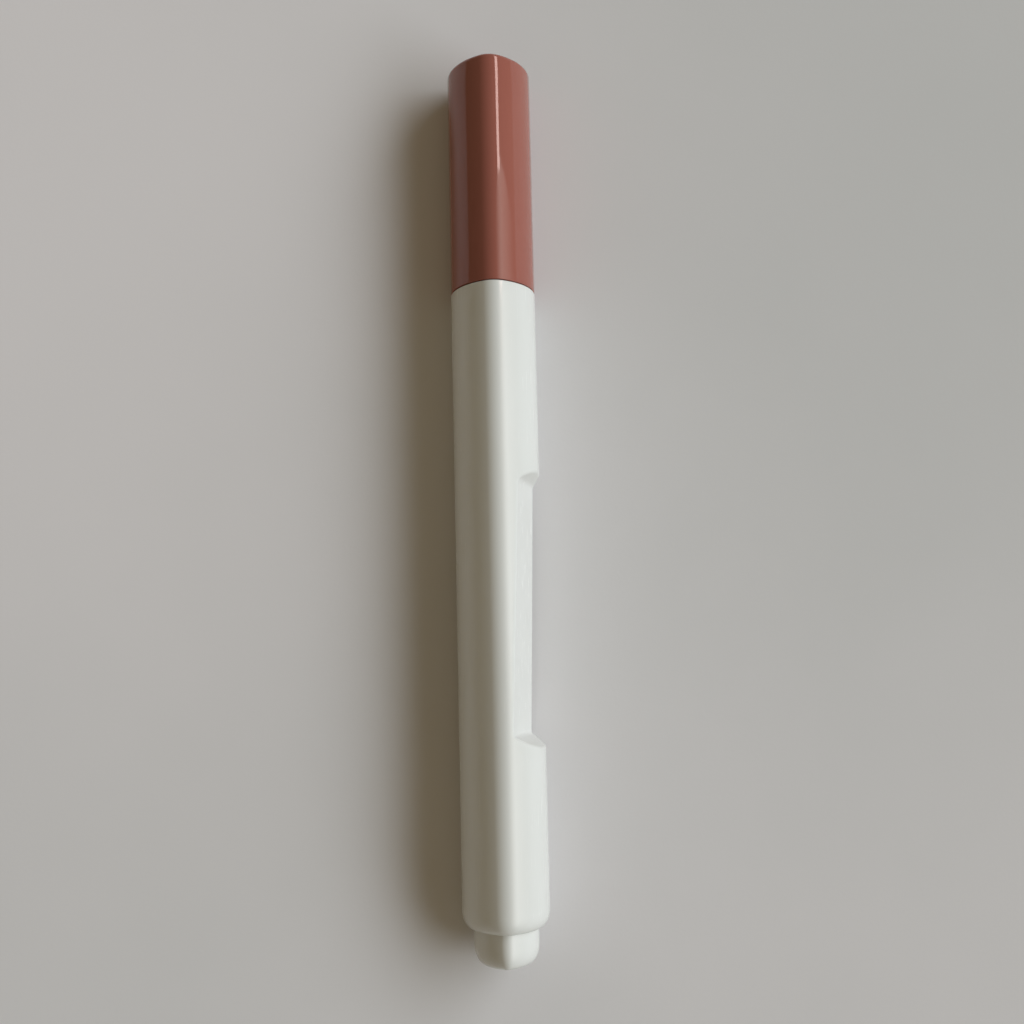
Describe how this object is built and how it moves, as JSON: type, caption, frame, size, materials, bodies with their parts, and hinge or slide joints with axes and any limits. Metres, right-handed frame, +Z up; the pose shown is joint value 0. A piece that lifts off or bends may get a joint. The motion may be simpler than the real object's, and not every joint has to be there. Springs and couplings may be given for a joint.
{
  "type": "paint marker",
  "caption": "Slim three-sided paint marker with a pull-off cap, a bullet nib on a spring valve, a flat recess along the barrel and a small tail plug.",
  "frame": {"origin": "middle of the marker's length and width, on the surface that it lies on", "axes": "+Y along the marker towards the cap, +Z up through the upper ridge, +X to the side with the flat recess"},
  "size_m": [0.013, 0.1366, 0.013],
  "materials": {
    "barrel_plastic": "white satin-gloss moulded plastic",
    "cap_plastic": "glossy brick-red moulded plastic",
    "section_plastic": "white moulded plastic",
    "liner_plastic": "soft natural plastic",
    "valve_plastic": "natural moulded plastic",
    "nib_fibre": "bonded fibre",
    "seal_rubber": "black rubber",
    "steel": "bright steel"
  },
  "bodies": {
    "marker_body": {"barrel": "barrel_plastic", "tail_plug": "barrel_plastic", "tail_seal": "seal_rubber", "nib_section": "section_plastic", "section_seal": "seal_rubber", "valve_gasket": "seal_rubber", "valve_spring": "steel", "valve_cage": "valve_plastic"},
    "cap": {"cap_shell": "cap_plastic", "cap_liner": "liner_plastic"},
    "nib_unit": {"nib": "nib_fibre", "valve_pin": "valve_plastic"},
    "ball": {"mixing_ball": "steel"}
  },
  "joints": [
    {"name": "cap_pull", "type": "slide", "parent": "marker_body", "child": "cap", "axis": [0, 1, 0], "range_m": [0, 0.045]},
    {"name": "nib_press", "type": "slide", "parent": "marker_body", "child": "nib_unit", "axis": [0, -1, 0], "range_m": [0, 0.0018], "stiffness_N_per_m": 800, "deforming": ["valve_spring"]},
    {"name": "ball_roll", "type": "slide", "parent": "marker_body", "child": "ball", "axis": [0, 1, 0], "range_m": [-0.022, 0.043]}
  ]
}
